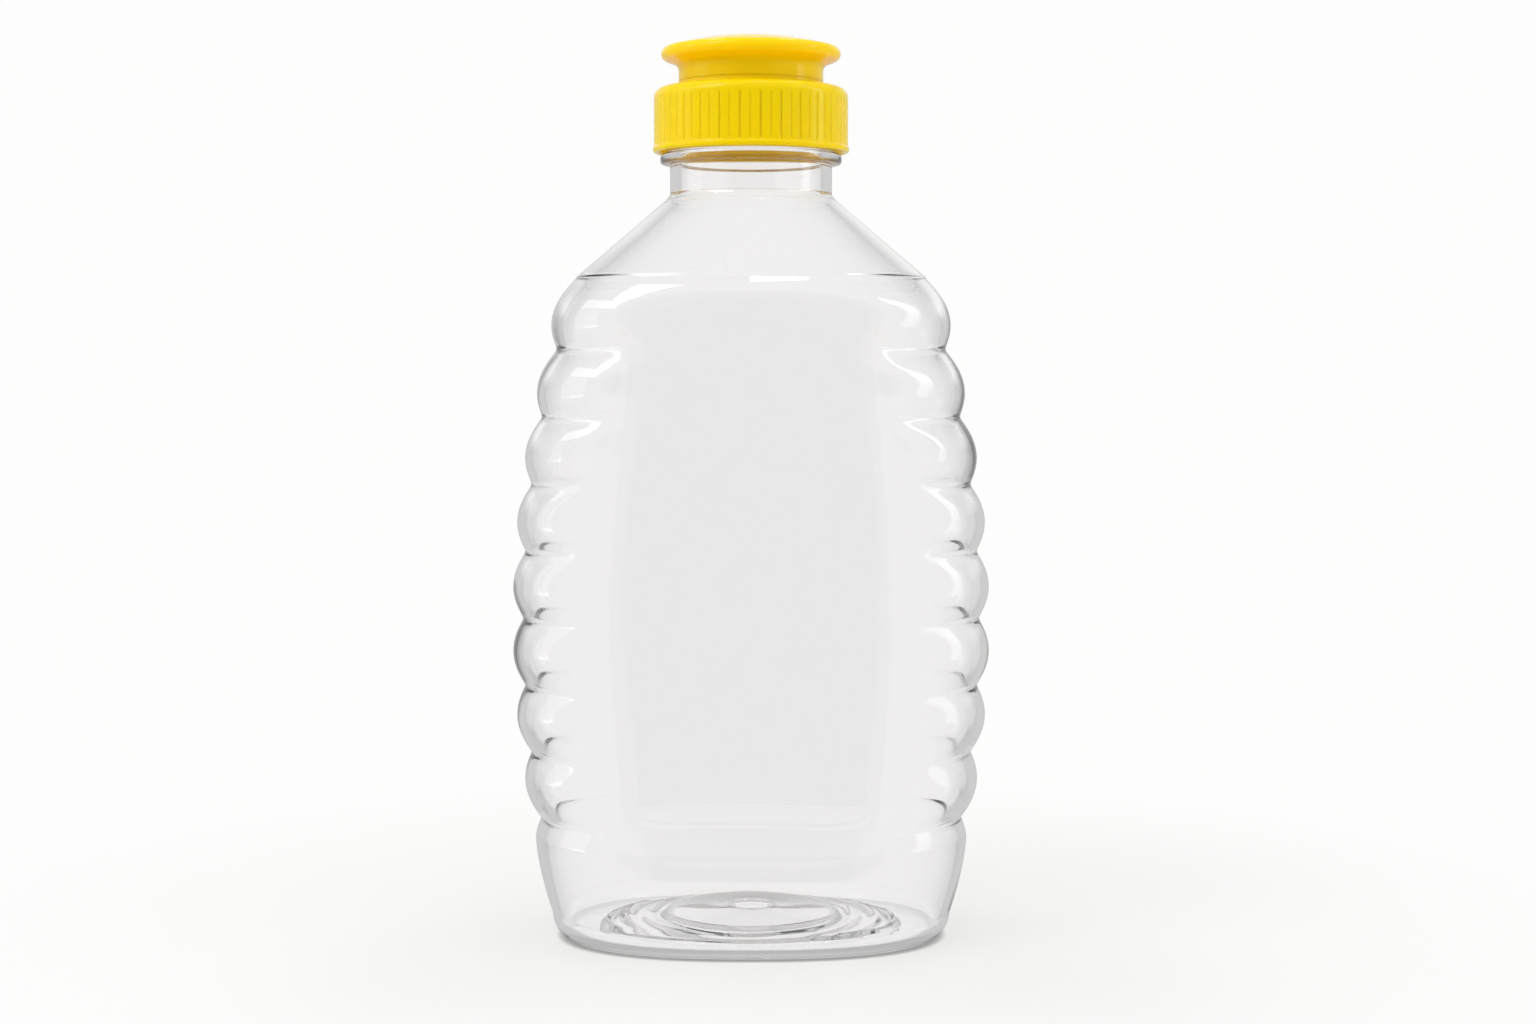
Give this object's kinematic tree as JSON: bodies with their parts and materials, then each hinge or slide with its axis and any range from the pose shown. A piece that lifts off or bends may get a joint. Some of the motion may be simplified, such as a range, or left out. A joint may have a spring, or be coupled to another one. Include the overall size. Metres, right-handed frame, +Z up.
{
  "type": "honey squeeze bottle",
  "caption": "Clear ribbed oval squeeze bottle for honey, with flat label panels, a threaded neck, and a yellow screw cap whose mushroom-shaped spout pulls up to pour.",
  "frame": {"origin": "middle of the base, in the plane of the flat ring that the bottle stands on", "axes": "+Z up along the neck, +X across the wide side with the ribs, +Y through the back label panel"},
  "size_m": [0.0986, 0.0644, 0.1859],
  "materials": {
    "clear_plastic": "clear, colourless, glossy blown plastic, smooth inside and out",
    "yellow_plastic": "bright yellow moulded plastic, softly glossy, slightly translucent where thin",
    "liner_foam": "off-white closed-cell foam, matt"
  },
  "bodies": {
    "bottle": {"bottle": "clear_plastic"},
    "sealing_ring": {"sealing_ring": "liner_foam"},
    "screw_cap": {"screw_cap": "yellow_plastic"},
    "pull_spout": {"pull_spout": "yellow_plastic"}
  },
  "joints": [
    {"name": "cap_lift", "type": "slide", "parent": "bottle", "child": "sealing_ring", "axis": [0, 0, 1], "range_m": [0, 0.0128]},
    {"name": "cap_twist", "type": "hinge", "parent": "sealing_ring", "child": "screw_cap", "pos_m": [0, 0, 0.168], "axis": [0, 0, 1], "range_deg": [0, 1080]},
    {"name": "spout_pull", "type": "slide", "parent": "screw_cap", "child": "pull_spout", "axis": [0, 0, 1], "range_m": [0, 0.004]}
  ],
  "couplings": [
    {"joint": "cap_lift", "follows": "cap_twist", "m_per_rad": 0.00067376}
  ]
}
